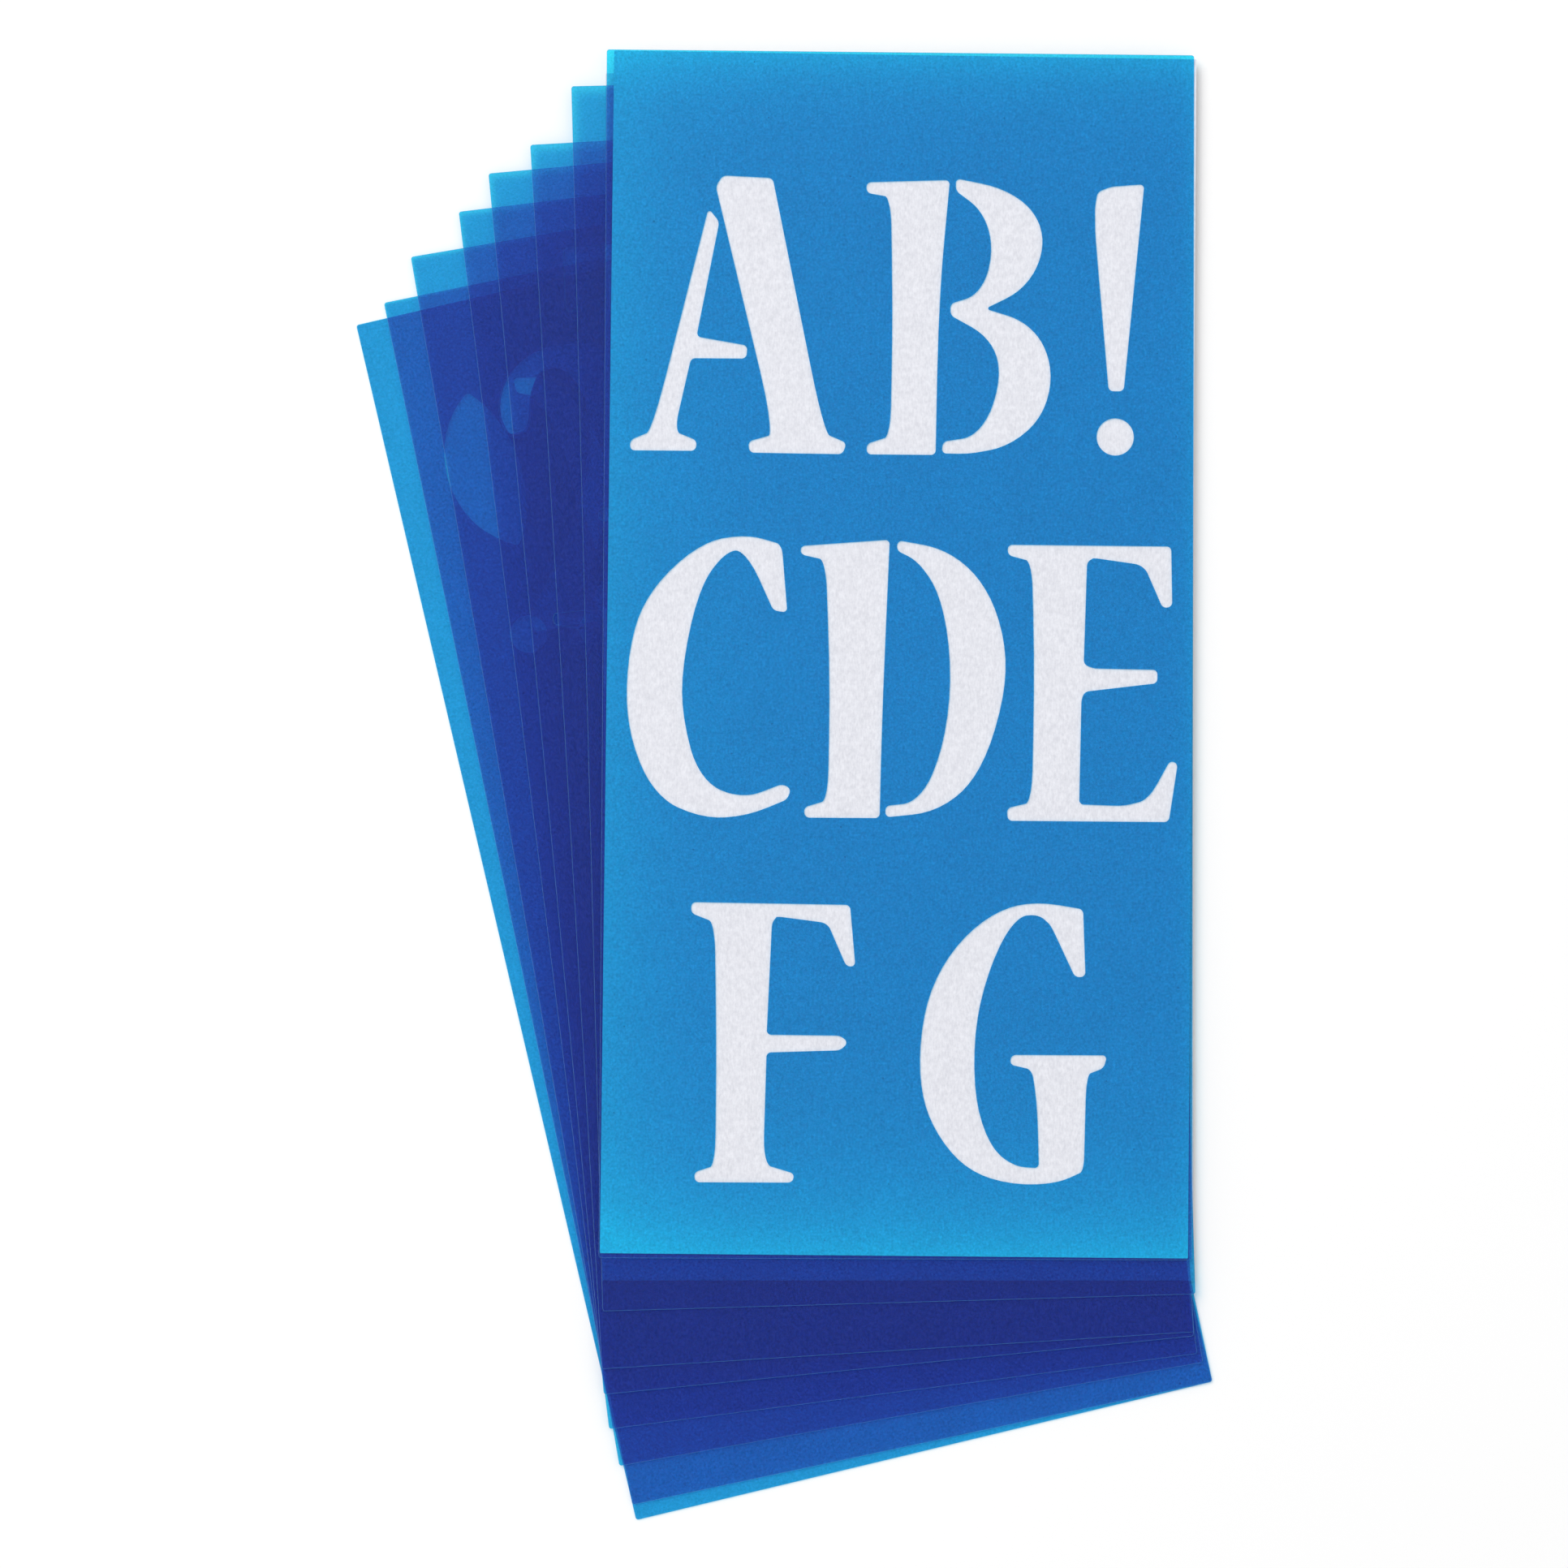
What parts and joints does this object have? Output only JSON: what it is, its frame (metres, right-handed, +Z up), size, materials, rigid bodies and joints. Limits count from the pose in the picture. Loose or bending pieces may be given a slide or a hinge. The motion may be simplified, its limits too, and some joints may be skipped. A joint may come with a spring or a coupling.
{
  "type": "lettering stencil",
  "caption": "Lettering stencils in thin translucent film, fanned on a flat surface with paper interleaves; serif capitals, digits and signs are cut through for tracing.",
  "frame": {"origin": "under the middle of the fan's outline, on the face that the rear film rests on", "axes": "+Z up, out of the stack of sheets; +Y towards the tops of the front film's letters; +X to the letters' right"},
  "size_m": [0.1564, 0.2685, 0.0026],
  "materials": {
    "blue_film": "translucent blue film with a fine satin grain",
    "interleaf_paper": "matte white, faintly mottled"
  },
  "bodies": {
    "front_film": {"front_film": "blue_film"},
    "second_film": {"second_film": "blue_film"},
    "third_film": {"third_film": "blue_film"},
    "fourth_film": {"fourth_film": "blue_film"},
    "fifth_film": {"fifth_film": "blue_film"},
    "sixth_film": {"sixth_film": "blue_film"},
    "seventh_film": {"seventh_film": "blue_film"},
    "rear_film": {"rear_film": "blue_film"},
    "front_interleaf": {"front_interleaf": "interleaf_paper"},
    "rear_interleaf": {"rear_interleaf": "interleaf_paper"}
  },
  "joints": [
    {"name": "seventh_film_turn", "type": "hinge", "parent": "rear_film", "child": "seventh_film", "pos_m": [0.07997, -0.10757, 0], "axis": [0, 0, 1], "range_deg": [-1.5, 1.5]},
    {"name": "sixth_film_turn", "type": "hinge", "parent": "seventh_film", "child": "sixth_film", "pos_m": [0.18364, -0.05605, 0], "axis": [0, 0, 1], "range_deg": [-1.9, 1.9]},
    {"name": "fifth_film_turn", "type": "hinge", "parent": "sixth_film", "child": "fifth_film", "pos_m": [0.10914, -0.08225, 0], "axis": [0, 0, 1], "range_deg": [-2.75, 2.75]},
    {"name": "rear_interleaf_turn", "type": "hinge", "parent": "fifth_film", "child": "rear_interleaf", "pos_m": [0.1683, -0.09373, 0], "axis": [0, 0, 1], "range_deg": [-7.25, 7.25]},
    {"name": "fourth_film_turn", "type": "hinge", "parent": "rear_interleaf", "child": "fourth_film", "pos_m": [0.16272, -0.09714, 0], "axis": [0, 0, -1], "range_deg": [-5.6, 5.6]},
    {"name": "third_film_turn", "type": "hinge", "parent": "fourth_film", "child": "third_film", "pos_m": [0.09676, -0.09953, 0], "axis": [0, 0, 1], "range_deg": [-2.05, 2.05]},
    {"name": "second_film_turn", "type": "hinge", "parent": "third_film", "child": "second_film", "pos_m": [0.28288, -0.10459, 0], "axis": [0, 0, 1], "range_deg": [-1.9, 1.9]},
    {"name": "front_interleaf_turn", "type": "hinge", "parent": "second_film", "child": "front_interleaf", "pos_m": [0.19394, -0.066, 0], "axis": [0, 0, 1], "range_deg": [-2.15, 2.15]},
    {"name": "front_film_turn", "type": "hinge", "parent": "front_interleaf", "child": "front_film", "pos_m": [0.03395, -0.0383, 0], "axis": [0, 0, -1], "range_deg": [-0.3, 0.3]}
  ]
}
